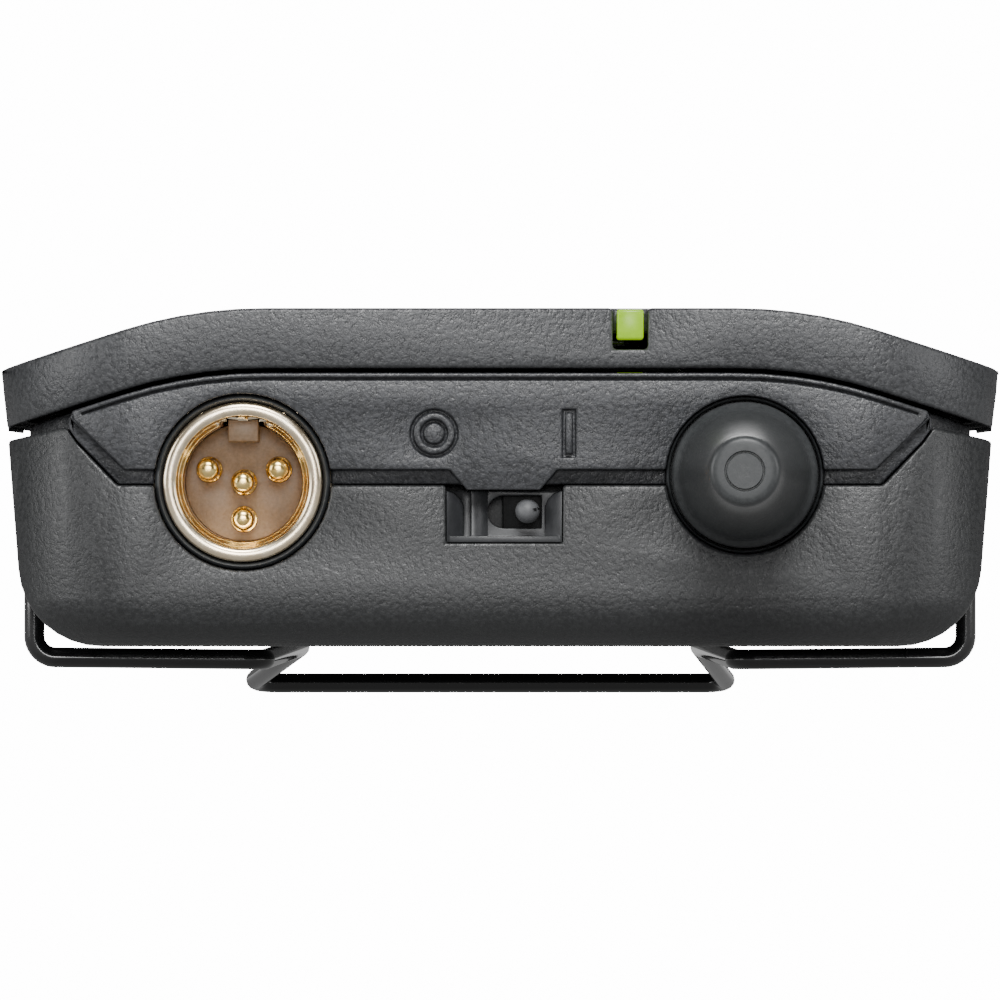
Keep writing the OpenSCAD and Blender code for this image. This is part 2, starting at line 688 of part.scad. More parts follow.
trimmer_z = deck_low - 0.1;
module trimmer_body() color("#2e5fa3") difference() {
    block([gain_x - 3.4, gain_y - 3.4, control_top], [gain_x + 3.4, gain_y + 3.4, trimmer_z]);
    post(gain_x, gain_y, 0.8 + run, control_top + 0.8, trimmer_z + 1);
}
module gain_rotor() color("#e8e8e4") difference() {
    union() {
        post(gain_x, gain_y, 0.8, control_top + 1, trimmer_z + 0.2);
        post(gain_x, gain_y, rotor_r, trimmer_z + 0.1, deck_top + 0.6);
    }
    block([gain_x - 0.4, gain_y - 2, deck_top - 0.2], [gain_x + 0.4, gain_y + 2, 30]);
}

module led_board() color("#1f5b3a")
    block([led_x - 3.2, top_y + 2.6, deck_top - 0.75], [led_x + 3.2, top_y + 8.5, deck_top - 0.05]);
module status_led() color("#e9f2c8")
    block([led_x - 0.8, top_y + 3.2, deck_top - 0.05], [led_x + 0.8, top_y + 4.6, deck_top + 0.7]);
module rf_shield() color("#b9bcbf") difference() {
    block([5.5, -38, board_top], [20.5, -19, board_top + 3]);
    block([5.8, -37.7, board_top - 1], [20.2, -19.3, board_top + 2.7]);
}
module processor_chip() color("#202225") block([-7, -35, board_top], [1.5, -26.5, board_top + 1.2]);
module audio_chip() color("#202225") block([-20, -33, board_top], [-14, -27.5, board_top + 1.1]);
module crystal_can() color("#c4c7ca") block([-6, -24, board_top], [-1.2, -22, board_top + 1.1]);
module capacitors() color("#3a4a78") for (p = [[-19, -21], [-13.5, -21], [-13.5, -15.5], [4, -14.6]])
    post(p[0], p[1], 2, board_top, board_top + 5.4);

// ---- Batteries and contacts ----

nub_face_left = bay_y0 + plate_t;
nub_face_right = bay_y1 - plate_t;
module cell(x, y, way) {
    far = y + way * (cell_l - cell_nub_l);
    bar_y(x, cell_z, cell_d / 2, min(y, far), max(y, far));
    bar_y(x, cell_z, cell_nub_r, min(y, y - way * cell_nub_l), max(y, y - way * cell_nub_l));
}
module battery_left() color("#3d6f8f") cell(-cell_x, nub_face_left + cell_nub_l, 1);
module battery_right() color("#3d6f8f") cell(cell_x, nub_face_right - cell_nub_l, -1);

// A cone-shaped coil between a plate and a cell's flat end
coil_turns = 3;
coil_steps = 16;
coil_wire = 0.28;
function coil_point(t, len) = let (a = 360 * coil_turns * t, r = 4.4 - 2.2 * t)
    [r * cos(a), r * sin(a), coil_wire + (len - 2 * coil_wire) * t];
module coil(len) tube([for (i = [0:coil_turns * coil_steps])
    coil_point(i / (coil_turns * coil_steps), len)], coil_wire, 8, [0, 0, 1]);
spring_l = bay_y1 - bay_y0 - 2 * plate_t - cell_l;
module battery_springs() color("#c8ccd0") {
    translate([-cell_x, nub_face_right, cell_z]) rotate([90, 0, 0]) coil(spring_l);
    translate([cell_x, nub_face_left, cell_z]) rotate([-90, 0, 0]) coil(spring_l);
}
module battery_plates() color("#c8ccd0") for (x = [-cell_x, cell_x])
    block([x - 5, bay_y0, 3.4], [x + 5, bay_y0 + plate_t, 15]);
module battery_link() color("#c8ccd0")
    block([-cell_x - 5, bay_y1 - plate_t, 3.4], [cell_x + 5, bay_y1, 15]);

// ---- Screws ----

module housing_screws() color("#2a2b2d") for (x = [-boss_x, boss_x], y = [boss_y0, boss_y1]) difference() {
    union() {
        post(x, y, head_r, 0.2, sink_z);
        post(x, y, screw_r, sink_z, 10);
    }
    block([x - 1.2, y - 0.2, -1], [x + 1.2, y + 0.2, 0.9]);
    block([x - 0.2, y - 1.2, -1], [x + 0.2, y + 1.2, 0.9]);
}
module board_screws() color("#9a9da0") {
    for (s = main_spots) {
        post(s[0], s[1], small_head_r, board_top, board_top + 0.9);
        post(s[0], s[1], small_r, floor_t + 0.1, board_top);
    }
    for (s = control_spots) {
        post(s[0], s[1], small_head_r, control_z - 0.9, control_z);
        post(s[0], s[1], small_r, control_z, 14.9);
    }
}

rear_shell();
inner_frame();
front_cover();
hinge_pin();
latch_left();
latch_right();
display_window();
label_plate();
light_pipe();
belt_clip();
socket_barrel();
socket_insulator();
socket_contacts();
socket_gasket();
socket_nut();
antenna_gasket();
antenna_sheath();
antenna_whip();
antenna_ferrule();
antenna_contact();
switch_guide();
switch_slider();
switch_body();
main_board();
control_board();
board_header();
segment_display();
group_button();
channel_button();
tact_switches();
gain_rotor();
trimmer_body();
led_board();
status_led();
rf_shield();
processor_chip();
audio_chip();
capacitors();
crystal_can();
battery_left();
battery_right();
battery_springs();
battery_plates();
battery_link();
housing_screws();
board_screws();
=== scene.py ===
# %% [markdown]
# # A wireless bodypack transmitter
# The pack is a small moulded case: a rear shell, an inner frame and a hinged front cover meet along
# dark seams, and the end towards the camera carries a metal socket, a slide switch and a rubber
# antenna. The working model is loaded first and stays fixed. Every new piece is placed from it.

# %% Load the frame
import json
import math

import bpy
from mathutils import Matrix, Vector

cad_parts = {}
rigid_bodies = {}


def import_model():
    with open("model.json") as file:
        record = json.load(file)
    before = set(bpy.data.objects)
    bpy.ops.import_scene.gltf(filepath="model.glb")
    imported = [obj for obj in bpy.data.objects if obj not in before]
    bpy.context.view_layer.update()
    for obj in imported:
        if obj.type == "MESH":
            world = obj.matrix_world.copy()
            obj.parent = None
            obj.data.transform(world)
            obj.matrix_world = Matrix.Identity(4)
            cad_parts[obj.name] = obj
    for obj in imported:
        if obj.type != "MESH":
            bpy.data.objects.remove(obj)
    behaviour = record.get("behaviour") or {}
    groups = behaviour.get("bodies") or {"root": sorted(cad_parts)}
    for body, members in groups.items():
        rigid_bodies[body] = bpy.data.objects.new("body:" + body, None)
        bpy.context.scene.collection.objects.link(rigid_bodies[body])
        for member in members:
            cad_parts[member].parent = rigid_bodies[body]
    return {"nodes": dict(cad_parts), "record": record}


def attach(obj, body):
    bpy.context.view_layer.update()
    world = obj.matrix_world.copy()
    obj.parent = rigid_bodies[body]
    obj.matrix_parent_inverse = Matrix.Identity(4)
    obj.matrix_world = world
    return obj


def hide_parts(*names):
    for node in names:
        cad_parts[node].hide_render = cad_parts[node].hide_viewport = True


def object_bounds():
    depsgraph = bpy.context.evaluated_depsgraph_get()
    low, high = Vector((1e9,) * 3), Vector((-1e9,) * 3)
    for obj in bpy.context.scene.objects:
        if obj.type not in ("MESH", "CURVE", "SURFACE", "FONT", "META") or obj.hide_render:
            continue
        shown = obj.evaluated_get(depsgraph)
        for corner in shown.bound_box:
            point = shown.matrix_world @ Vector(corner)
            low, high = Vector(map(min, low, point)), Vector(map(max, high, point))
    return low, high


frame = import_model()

MM = 0.001
cad_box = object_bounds()
nodes = frame["nodes"]
body_of_node = {n: b for b, members in frame["record"]["behaviour"]["bodies"].items() for n in members}
slot_of_node = {part["node"]: part["material_slot"] for part in frame["record"]["subparts"]}
print("frame box in mm:", [[round(v / MM, 2) for v in corner] for corner in cad_box])

# %% [markdown]
# ## Camera and studio
# The end face is seen square on, from about a metre away with a long lens, so lines that run away
# from the camera hardly draw together. The lens is worked out from the width that has to fill the
# frame.

# %% Camera
SENSOR = 36
VIEW_WIDTH = 63.69 * MM
EYE_DISTANCE = 1.0
EYE_HEIGHT = 9.36 * MM
top_end = -55 * MM

camera_data = bpy.data.cameras.new("camera")
camera_data.sensor_width = SENSOR
camera_data.lens = SENSOR * EYE_DISTANCE / VIEW_WIDTH
camera = bpy.data.objects.new("camera", camera_data)
bpy.context.scene.collection.objects.link(camera)
camera.location = (0, top_end - EYE_DISTANCE, EYE_HEIGHT)
camera.rotation_euler = (math.radians(90), 0, 0)
bpy.context.scene.camera = camera
print("lens in mm:", round(camera_data.lens, 1))


# %% [markdown]
# ## Light
# Black plastic shows its shape only by what it reflects. A broad soft box above and in front draws
# the upper edges and leaves the underside dark, and a weaker one on each side draws the rounded
# corners. One behind lights the far end for the other views. A soft box lights without being seen.

# %% Soft boxes
def colour(hex_code):
    """An sRGB hex colour as the linear values that shaders expect."""
    parts = [int(hex_code[i:i + 2], 16) / 255 for i in (1, 3, 5)]
    return [p / 12.92 if p <= 0.04045 else ((p + 0.055) / 1.055) ** 2.4 for p in parts] + [1]


def soft_box(name, place, aim, size, power):
    """A square soft box that the camera doesn't see."""
    data = bpy.data.lights.new(name, "AREA")
    data.shape, data.size, data.energy = "SQUARE", size, power
    lamp = bpy.data.objects.new(name, data)
    bpy.context.scene.collection.objects.link(lamp)
    lamp.location = place
    lamp.rotation_euler = (Vector(aim) - Vector(place)).to_track_quat("-Z", "Y").to_euler()
    lamp.visible_camera = False
    print(name, "gives", power, "W")


soft_box("overhead_box", (0.05, -0.85, 0.8), (0, -0.04, 0.01), 0.45, 17)
soft_box("front_box", (0, -1.4, 0.2), (0, -0.05, 0.01), 0.3, 5)
soft_box("left_box", (-0.95, -0.45, 0.2), (0, -0.05, 0.01), 0.65, 7)
soft_box("right_box", (0.95, -0.45, 0.2), (0, -0.05, 0.01), 0.65, 5)
soft_box("back_box", (0, 0.9, 0.7), (0, 0, 0.01), 0.6, 6)


# %% [markdown]
# ### Shader trees
# The surroundings and every finish are small trees of nodes, so one helper adds a node, sets it and
# joins it in a single call.

# %% Helper for shader nodes
def add(tree, kind, links=None, **settings):
    """Adds a node. Settings go to its attributes or sockets, links join (node, output) to a socket."""
    node = tree.nodes.new(kind)
    for key, value in settings.items():
        if hasattr(node, key):
            setattr(node, key, value)
        else:
            node.inputs[key.replace("_", " ")].default_value = value
    for socket, (source, output) in (links or {}).items():
        tree.links.new(source.outputs[output], node.inputs[socket])
    return node


print("one helper adds every node")

# %% [markdown]
# ## Surroundings
# The white behind the pack is the room itself. It glows strongly for the camera alone and weakly for
# everything else, so the white is pure and still adds little light to the black plastic. The pack
# stands just over pale paper, which bounces light up to its underside. The paper would look as white
# as the room, so it is hidden from the camera, and the back of the case can be seen from beneath.

# %% Surroundings and floor
ROOM_GLOW = 0.14
ROOM_GLOW_SEEN = 15
PAPER_BOUNCE = 0.22
PAPER_SIZE = 60
PAPER_GAP = 0.2 * MM

world = bpy.data.worlds.new("white_room")
bpy.context.scene.world = world
world.use_nodes = True
room = world.node_tree
ray = add(room, "ShaderNodeLightPath")
glow = add(room, "ShaderNodeMapRange", {"Value": (ray, "Is Camera Ray")},
           To_Min=ROOM_GLOW, To_Max=ROOM_GLOW_SEEN)
room.links.new(glow.outputs["Result"], room.nodes["Background"].inputs["Strength"])
room.nodes["Background"].inputs["Color"].default_value = (1, 1, 1, 1)

deselect = bpy.ops.object.select_all
deselect(action="DESELECT")
bpy.ops.mesh.primitive_plane_add(size=PAPER_SIZE, location=(0, 0, cad_box[0].z - PAPER_GAP))
floor = bpy.context.object
floor.name = "floor"
paper = bpy.data.materials.new("lit_white_paper")
paper.use_nodes = True
sheet = paper.node_tree.nodes["Principled BSDF"].inputs
sheet["Base Color"].default_value = colour("#6c6c6c")
sheet["Roughness"].default_value = 0.9
sheet["Emission Color"].default_value = (1, 1, 1, 1)
sheet["Emission Strength"].default_value = PAPER_BOUNCE
floor.data.materials.append(paper)
floor.visible_camera = False
print("the paper lies at z in mm:", round(floor.location.z / MM, 2))


# %% [markdown]
# ## Materials
# Each finish starts from what the real part is made of. Patterns read object coordinates, which are
# real metres here, so a scale is simply one over the size of a grain.

# %% Helpers for a finish
def new_material(name, **surface):
    """A material with one principled shader, and its tree."""
    material = bpy.data.materials.new(name)
    material.use_nodes = True
    tree = material.node_tree
    shader = tree.nodes["Principled BSDF"]
    for key, value in surface.items():
        shader.inputs[key.replace("_", " ")].default_value = value
    return material, tree, shader


def mottled(tree, shader, hex_low, hex_high, size, depth, roughness=(0.45, 0.6), edges=(0.32, 0.68)):
    """Mottled colour, roughness and bump from one noise of the given grain size in millimetres."""
    place = add(tree, "ShaderNodeTexCoord")
    noise = add(tree, "ShaderNodeTexNoise", {"Vector": (place, "Object")}, Scale=1 / (size * MM),
                Detail=3.0, Roughness=0.6)
    ramp = add(tree, "ShaderNodeValToRGB", {"Fac": (noise, "Fac")})
    low, high = ramp.color_ramp.elements
    low.position, high.position = edges
    low.color, high.color = colour(hex_low), colour(hex_high)
    tree.links.new(ramp.outputs["Color"], shader.inputs["Base Color"])
    span = add(tree, "ShaderNodeMapRange", {"Value": (noise, "Fac")}, From_Min=edges[0],
               From_Max=edges[1], To_Min=roughness[0], To_Max=roughness[1])
    tree.links.new(span.outputs["Result"], shader.inputs["Roughness"])
    bump = add(tree, "ShaderNodeBump", {"Height": (noise, "Fac")}, Strength=1.0, Distance=depth * MM)
    tree.links.new(bump.outputs["Normal"], shader.inputs["Normal"])


print("two helpers make every finish")

# %% [markdown]
# ### Moulded plastics
# The case is black ABS from a spark-eroded tool. The tool leaves a leathery grain of about a third
# of a millimetre: tiny hills that each catch the light, so the face sparkles softly where a polished
# one would mirror the soft box. Two sizes of noise give the hills and the finer pits on them.

# %% Spark-eroded ABS
GRAIN_SIZE = 0.3
PIT_SIZE = 0.14


def grained(name, hex_low, hex_high, depth, roughness=(0.3, 0.46)):
    """Black moulded ABS with a leathery grain of the given depth in millimetres."""
    material, tree, shader = new_material(name, IOR=1.54)
    mottled(tree, shader, hex_low, hex_high, GRAIN_SIZE, depth, roughness, (0.38, 0.62))
    place = add(tree, "ShaderNodeTexCoord")
    pits = add(tree, "ShaderNodeTexNoise", {"Vector": (place, "Object")},
               Scale=1 / (PIT_SIZE * MM), Detail=2.0)
    first = next(n for n in tree.nodes if n.bl_idname == "ShaderNodeBump")
    second = add(tree, "ShaderNodeBump", {"Height": (pits, "Fac"), "Normal": (first, "Normal")},
                 Strength=0.6, Distance=depth * 0.3 * MM)
    tree.links.new(second.outputs["Normal"], shader.inputs["Normal"])
    return material


cover_abs = grained("spark_eroded_abs_cover", "#28292b", "#38393b", 0.075)
shell_abs = grained("spark_eroded_abs_shell", "#1e1f20", "#272829", 0.065, (0.34, 0.5))
frame_abs = grained("spark_eroded_abs_frame", "#27282a", "#36373a", 0.08)
# The button plastic comes from a polished tool, so it is smoother and a little darker.
button_abs, tree, shader = new_material("satin_abs_button", IOR=1.54)
mottled(tree, shader, "#2b2c2e", "#323335", 0.8, 0.01, (0.34, 0.42))
nub_abs, tree, shader = new_material("matte_abs_nub", IOR=1.54)
mottled(tree, shader, "#4c4d4f", "#57585a", 0.3, 0.01, (0.5, 0.6))
print("grained finishes:", cover_abs.name, shell_abs.name, frame_abs.name)

# %% [markdown]
# ### Rubber, resin and small plastic parts
# The small parts are smooth beside the case, and each has its own sheen: satin rubber, dull epoxy,
# glossy sleeve and clear acrylic. The plate of the switch lies deep in its slot, and its near-black
# colour is painted shade. The green light pipe has a painted glow: a faint emission stands in for
# light gathering in clear green plastic.

# %% Rubber, resin and small plastic parts
antenna_rubber, tree, shader = new_material("moulded_rubber", IOR=1.5)
mottled(tree, shader, "#282a2b", "#313334", 0.35, 0.006, (0.38, 0.48))
cap_plastic, tree, shader = new_material("moulded_keycap", IOR=1.5)
mottled(tree, shader, "#b9b9b5", "#c6c6c2", 0.6, 0.008, (0.35, 0.45))
insulator_resin, tree, shader = new_material("glass_filled_insulator", IOR=1.55)
mottled(tree, shader, "#957a5f", "#a98e72", 0.25, 0.01, (0.35, 0.5))
chip_epoxy, tree, shader = new_material("moulded_epoxy", IOR=1.55)
mottled(tree, shader, "#151618", "#1e1f21", 0.1, 0.006, (0.45, 0.6))
# The switch plate's near-black colour is painted shade, standing in for the shade deep in the slot.
plate_in_painted_shade, tree, shader = new_material("plate_painted_as_slot_shade", IOR=1.45)
mottled(tree, shader, "#050506", "#0a0a0b", 0.2, 0.004, (0.6, 0.7))
trimmer_case, tree, shader = new_material("blue_component_case", IOR=1.5)
mottled(tree, shader, "#1f468a", "#2a569b", 0.5, 0.006, (0.35, 0.45))
capacitor_sleeve, tree, shader = new_material("shrunk_capacitor_sleeve", IOR=1.5)
mottled(tree, shader, "#27335a", "#2e3c66", 1, 0.006, (0.25, 0.35))
window_acrylic, tree, shader = new_material("smoked_acrylic", IOR=1.49, Coat_Weight=0.6)
mottled(tree, shader, "#0c0e10", "#101316", 6, 0.001, (0.06, 0.1))
# Painted glow: the emission makes the light pipe glow green, though the scene has no lamp behind it.
lens_with_painted_glow, tree, shader = new_material("green_acrylic_with_painted_glow", IOR=1.49, Emission_Strength=0.55,
                                          Emission_Color=colour("#a4d800"), Subsurface_Weight=0.1,
                                          Subsurface_Radius=(0.001, 0.001, 0.0005))
mottled(tree, shader, "#648c00", "#749c06", 0.8, 0.004, (0.25, 0.35))
segment_print, tree, shader = new_material("unlit_display_segment", IOR=1.5)
mottled(tree, shader, "#77786f", "#85867c", 0.6, 0.002, (0.4, 0.5))
print("small plastics:", antenna_rubber.name, cap_plastic.name, window_acrylic.name, lens_with_painted_glow.name)

# %% [markdown]
# ### Metals and coatings
# The socket is turned brass under a warm nickel plate, its pins are gold plated, and the springs,
# pins and screws are steel. Handling dulls a plated face unevenly, so a fine noise changes how
# sharply it reflects. A metal keeps the default IOR. The clip is spring wire in a thick glossy black
# coating, the label plate is painted, and the circuit boards lie under a glossy green film.

# %% Plated and rolled metal
nickel, tree, shader = new_material("nickel_plated_brass", Metallic=1.0)
mottled(tree, shader, "#e6d2b2", "#f4e6cc", 1.2, 0.001, (0.2, 0.28))
gold, tree, shader = new_material("gold_plated_contact", Metallic=1.0)
mottled(tree, shader, "#e3bd6c", "#f7dd98", 0.5, 0.002, (0.14, 0.24))
steel, tree, shader = new_material("bright_rolled_steel", Metallic=1.0)
mottled(tree, shader, "#b4b7ba", "#c3c6c9", 0.7, 0.003, (0.24, 0.36))
brass, tree, shader = new_material("turned_brass", Metallic=1.0)
mottled(tree, shader, "#b08f55", "#c2a268", 0.4, 0.003, (0.25, 0.35))
wire_coating, tree, shader = new_material("gloss_black_coating", IOR=1.5, Coat_Weight=1.0,
                                          Coat_Roughness=0.05)
mottled(tree, shader, "#08080a", "#0d0d0f", 1.5, 0.002, (0.12, 0.2))
label_paint, tree, shader = new_material("satin_painted_plate", IOR=1.5)
mottled(tree, shader, "#6f7275", "#7b7e81", 0.4, 0.004, (0.38, 0.46))
solder_mask, tree, shader = new_material("green_solder_mask", IOR=1.5, Coat_Weight=0.3)
mottled(tree, shader, "#123f26", "#1a4f31", 0.9, 0.01, (0.3, 0.4))
print("metals:", nickel.name, gold.name, steel.name, brass.name)

# %% [markdown]
# ### Printed film of a cell
# A shrunk plastic sleeve is printed dark blue, with a copper-coloured band at one end. The two cells
# lie head to tail, so the distance along the cell changes sign with the side of the pack. A hard
# step at a real distance from the cell's middle starts the band.

# %% Printed film of a cell
CELL_MIDDLE_Y = 20.75 * MM
CELL_HALF = 25 * MM
BAND_START = 0.72
cell_film, tree, shader = new_material("printed_cell_sleeve", IOR=1.5, Coat_Weight=0.5,
                                       Coat_Roughness=0.08)
mottled(tree, shader, "#163047", "#1d3b55", 2, 0.006, (0.25, 0.35))
place = add(tree, "ShaderNodeTexCoord")
split = add(tree, "ShaderNodeSeparateXYZ", {"Vector": (place, "Object")})
side = add(tree, "ShaderNodeMath", {0: (split, "X")}, operation="SIGN")
flip = add(tree, "ShaderNodeMath", {0: (split, "Y")}, operation="SUBTRACT")
flip.inputs[1].default_value = CELL_MIDDLE_Y
along = add(tree, "ShaderNodeMath", {0: (flip, "Value"), 1: (side, "Value")}, operation="MULTIPLY")
share = add(tree, "ShaderNodeMapRange", {"Value": (along, "Value")}, From_Min=-CELL_HALF,
            From_Max=CELL_HALF)
band = add(tree, "ShaderNodeValToRGB", {"Fac": (share, "Result")})
band.color_ramp.interpolation = "CONSTANT"
band.color_ramp.elements[0].color = (0, 0, 0, 1)
band.color_ramp.elements[1].position, band.color_ramp.elements[1].color = BAND_START, (1, 1, 1, 1)
mix = add(tree, "ShaderNodeMix", {"Factor": (band, "Color")}, data_type="RGBA")
ramp = next(n for n in tree.nodes if n.bl_idname == "ShaderNodeValToRGB" and n != band)
tree.links.new(ramp.outputs["Color"], mix.inputs[6])
mix.inputs[7].default_value = colour("#8c5a33")
tree.links.new(mix.outputs[2], shader.inputs["Base Color"])

# The finish of each material slot in the working model
SLOTS = {"shell_abs": shell_abs, "frame_abs": frame_abs, "cover_abs": cover_abs,
         "button_abs": button_abs, "rubber_black": antenna_rubber, "wire_black": wire_coating,
         "plated_nickel": nickel, "insulator_brown": insulator_resin, "gold_plate": gold,
         "steel": steel, "brass": brass,
         "board_green": solder_mask, "chip_black": chip_epoxy, "lens_green": lens_with_painted_glow,
         "window_smoke": window_acrylic, "label_grey": label_paint, "cap_white": cap_plastic,
         "trimmer_blue": trimmer_case, "cell_jacket": cell_film, "capacitor_blue": capacitor_sleeve}
print(len(SLOTS), "finishes for", len(nodes), "working parts")


# %% [markdown]
# ## Soft edges on every moulded and turned part
# No real edge is perfectly sharp: a moulded one has a small radius that catches the light. Each
# working part is copied, its doubled points are merged, its flat areas are joined and cut again
# into evenly shaped triangles, and the edges are given a small round. A large flat face left in one
# piece would fold over itself where a round runs past a notch, so the cutting matters. The copy then
# stands for the part.

# %% Soften a part
def finish_piece(piece, name, body, slot, material=None):
    """Names a piece, gives it its finish and joins it to a moving body."""
    piece.name = name
    piece.data.name = name
    piece.data.materials.clear()
    piece.data.materials.append(material or SLOTS[slot])
    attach(piece, body)
    return piece


# A part that doesn't take its slot's finish: the switch plate takes a near-black painted shade
OWN_FINISH = {"switch_slider": plate_in_painted_shade}


def softened(node, width, segments=2, angle=28):
    """A copy of a working part with its edges rounded by a width in millimetres."""
    piece = bpy.data.objects.new(node + "_piece", nodes[node].data.copy())
    bpy.context.scene.collection.objects.link(piece)
    deselect(action="DESELECT")
    piece.select_set(True)
    bpy.context.view_layer.objects.active = piece
    bpy.ops.object.mode_set(mode="EDIT")
    bpy.ops.mesh.select_all(action="SELECT")
    bpy.ops.mesh.remove_doubles(threshold=0.002 * MM)
    bpy.ops.mesh.dissolve_limited(angle_limit=math.radians(0.6))
    bpy.ops.mesh.quads_convert_to_tris(quad_method="BEAUTY", ngon_method="BEAUTY")
    bpy.ops.object.mode_set(mode="OBJECT")
    bevel = piece.modifiers.new("edge_round", "BEVEL")
    bevel.width, bevel.segments, bevel.limit_method = width * MM, segments, "ANGLE"
    bevel.angle_limit, bevel.use_clamp_overlap = math.radians(angle), False
    bevel.loop_slide = False
    bpy.ops.object.modifier_apply(modifier="edge_round")
    bpy.ops.object.shade_smooth_by_angle(angle=math.radians(40))
    finish_piece(piece, node + "_piece", body_of_node[node], slot_of_node[node], OWN_FINISH.get(node))
    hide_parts(node)
    return piece


# Widths of the rounds in millimetres, where a part needs its own, and the parts made further down
USUAL_EDGE = 0.1
EDGE = {"rear_shell": 0.2, "inner_frame": 0.12, "front_cover": 0.25, "latch_left": 0.12,
        "latch_right": 0.12, "switch_guide": 0.06, "display_window": 0.15, "label_plate": 0.08,
        "light_pipe": 0.15, "socket_barrel": 0.28, "socket_insulator": 0.08, "hinge_pin": 0.2,
        "battery_left": 0.5, "battery_right": 0.5}
BUILT_ANEW = ("belt_clip", "battery_springs", "antenna_sheath", "socket_contacts", "socket_gasket",
              "antenna_gasket")
for node in nodes:
    if node not in BUILT_ANEW:
        piece = softened(node, EDGE.get(node, USUAL_EDGE))
        print(node, len(piece.data.polygons), "faces")


# %% [markdown]
# ## Wire: the belt clip and the battery springs
# Both are round wire bent on a former. A curve with a round section is the natural way to make one:
# the points carry the route, and the section stays true through every bend. The curve is then made
# a mesh, so that its ends are closed.

# %% Bend a wire
def wire(name, points, radius, body, slot):
    """Round wire through points, in millimetres, as a closed mesh."""
    deselect(action="DESELECT")
    bpy.ops.curve.primitive_nurbs_path_add(radius=1)
    piece = bpy.context.object
    curve = piece.data
    curve.splines.clear()
    line = curve.splines.new("POLY")
    line.points.add(len(points) - 1)
    for spot, point in zip(line.points, points):
        spot.co = (point[0] * MM, point[1] * MM, point[2] * MM, 1)
    curve.dimensions, curve.twist_mode = "3D", "MINIMUM"
    curve.bevel_depth, curve.bevel_resolution, curve.use_fill_caps = radius * MM, 5, True
    bpy.ops.object.convert(target="MESH")
    piece = bpy.context.object
    bpy.ops.object.mode_set(mode="EDIT")
    bpy.ops.mesh.select_all(action="SELECT")
    bpy.ops.mesh.remove_doubles(threshold=0.001 * MM)
    bpy.ops.mesh.normals_make_consistent(inside=False)
    bpy.ops.object.mode_set(mode="OBJECT")
    bpy.ops.object.shade_smooth_by_angle(angle=math.radians(50))
    finish_piece(piece, name, body, slot)
    print(name, len(piece.data.polygons), "faces")
    return piece


def with_bends(route, bend, steps=10):
    """The route with each corner rounded to one bend radius."""
    points = [Vector(route[0])]
    for before, corner, after in zip(route, route[1:], route[2:]):
        into = (Vector(corner) - Vector(before)).normalized()
        out = (Vector(after) - Vector(corner)).normalized()
        turn = into.angle(out)
        across = (out - into * into.dot(out)).normalized()
        middle = Vector(corner) - into * bend * math.tan(turn / 2) + across * bend
        for k in range(steps + 1):
            swept = turn * k / steps
            points.append(middle + bend * (into * math.sin(swept) - across * math.cos(swept)))
    return points + [Vector(route[-1])]


print("wire and its bends are ready")

# %% [markdown]
# ### Belt clip
# Two legs drop in the side grooves, run in under the back, turn down the pack and flare out at the
# far end. The free end of the wire lies a little to the left, so the two sides end at their own x.

# %% Belt clip
CLIP = {"pivot": (27.5, -30, 7), "leg": 30.4, "low": -0.9, "arm": (15.4, -1.05),
        "flare": (13.75, 25, -0.75), "end": (40, -3.4), "bend": 1.4, "radius": 0.675}
END_X_RIGHT = 15.9
END_X_LEFT = 17.4


def clip_side(end_x):
    """The route of one side, from its pivot to the free end."""
    x, y, z = CLIP["pivot"]
    arm_x, arm_z = CLIP["arm"]
    return [(x, y, z), (CLIP["leg"], y, z), (CLIP["leg"], y, CLIP["low"]), (arm_x, y, arm_z),
            CLIP["flare"], (end_x, CLIP["end"][0], CLIP["end"][1])]


far_side = [(-x, y, z) for x, y, z in reversed(clip_side(END_X_LEFT))]
clip_route = with_bends(clip_side(END_X_RIGHT) + far_side, CLIP["bend"])
clip = wire("belt_clip_piece", clip_route, CLIP["radius"], "clip", "wire_black")
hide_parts("belt_clip")

# %% [markdown]
# ### Battery springs
# A cone of coiled wire stands between each end plate and a cell's flat end. It is wide at the plate
# and narrow at the cell, so the coils can nest when the cell is pushed in.

# %% Battery springs
CELL_X = 7.6
CELL_Z = 9.6


def cone_spring(name, x, y_from, y_to, turns=4, wide=4.4, narrow=2.2, radius=0.28):
    """A coil from its plate to its cell."""
    steps = turns * 28
    gap = radius if y_to > y_from else -radius
    start, end = y_from + gap, y_to - gap
    points = []
    for i in range(steps + 1):
        t = i / steps
        reach, swept = wide + (narrow - wide) * t, 2 * math.pi * turns * t
        points.append((x + reach * math.cos(swept), start + (end - start) * t,
                       CELL_Z + reach * math.sin(swept)))
    return wire(name, points, radius, body_of_node["battery_springs"], "steel")


left_spring = cone_spring("battery_spring_left", -CELL_X, 47.6, 44.4)
right_spring = cone_spring("battery_spring_right", CELL_X, -6.1, -2.9)
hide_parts("battery_springs")
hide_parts("battery_springs")


# %% [markdown]
# ## Turned and moulded round parts
# A part made on a lathe, or in a round mould, is a row of rings along one line. It starts as a
# disc, and each ring is an extrusion of the last one, scaled to its radius. The piece is then laid
# along -Y, towards the end of the pack, and may lean by a few tenths of a degree.

